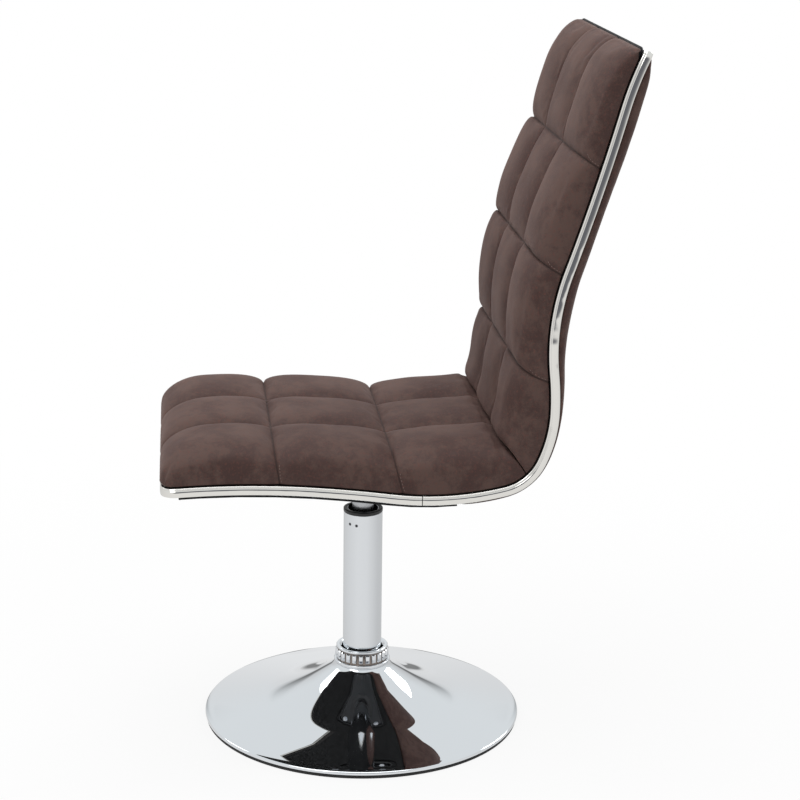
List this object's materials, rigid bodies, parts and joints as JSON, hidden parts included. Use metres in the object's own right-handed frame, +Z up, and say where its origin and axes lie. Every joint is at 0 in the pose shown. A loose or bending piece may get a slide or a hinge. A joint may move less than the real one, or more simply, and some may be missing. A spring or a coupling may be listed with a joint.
{
  "type": "swivel dining chair",
  "caption": "Armless dining chair with one tufted, padded seat and back edged in chrome strip, turning on a chromed column over a flared round base.",
  "frame": {"origin": "on the floor, on the axis that the seat turns about", "axes": "+Z up along the swivel axis, -Y to the front of the seat, +X to the sitter's left"},
  "size_m": [0.41, 0.5714, 0.8881],
  "materials": {
    "floor_ring": "matt black rubber",
    "polished_chrome": "bright chrome plate",
    "satin_chrome": "chrome plate, a little softer",
    "ballast_iron": "raw dark cast iron",
    "black_plastic": "black moulded nylon",
    "zinc_steel": "zinc-plated steel",
    "spindle_steel": "ground steel, satin",
    "black_paint": "black stove paint",
    "plywood": "bent plywood, stained black",
    "black_board": "plywood faced with black cloth",
    "black_piping": "black vinyl cord",
    "brown_suede": "mottled brown suede cloth over foam"
  },
  "bodies": {
    "base": {"base_floor_ring": "floor_ring", "base_disc": "polished_chrome", "base_ballast": "ballast_iron", "base_collar": "polished_chrome", "column_tube": "satin_chrome", "column_bush": "black_plastic", "column_clip_front": "zinc_steel", "column_clip_rear": "zinc_steel", "column_thrust_washer": "black_plastic"},
    "seat": {"seat_spindle": "spindle_steel", "spindle_washer": "zinc_steel", "spindle_nut": "zinc_steel", "seat_hub": "black_paint", "seat_plate": "black_paint", "seat_bolt_1": "zinc_steel", "seat_tee_nut_1": "zinc_steel", "seat_bolt_2": "zinc_steel", "seat_tee_nut_2": "zinc_steel", "seat_bolt_3": "zinc_steel", "seat_tee_nut_3": "zinc_steel", "seat_bolt_4": "zinc_steel", "seat_tee_nut_4": "zinc_steel", "seat_board": "plywood", "seat_under_board": "black_board", "front_strip": "polished_chrome", "back_strip_left": "polished_chrome", "back_strip_right": "polished_chrome", "seat_piping": "black_piping", "back_piping": "black_piping", "seat_cushion": "brown_suede", "back_cushion": "brown_suede", "rear_panel": "brown_suede"}
  },
  "joints": [
    {"name": "seat_swivel", "type": "hinge", "parent": "base", "child": "seat", "pos_m": [0, 0, 0.2], "axis": [0, 0, 1], "continuous": true}
  ]
}
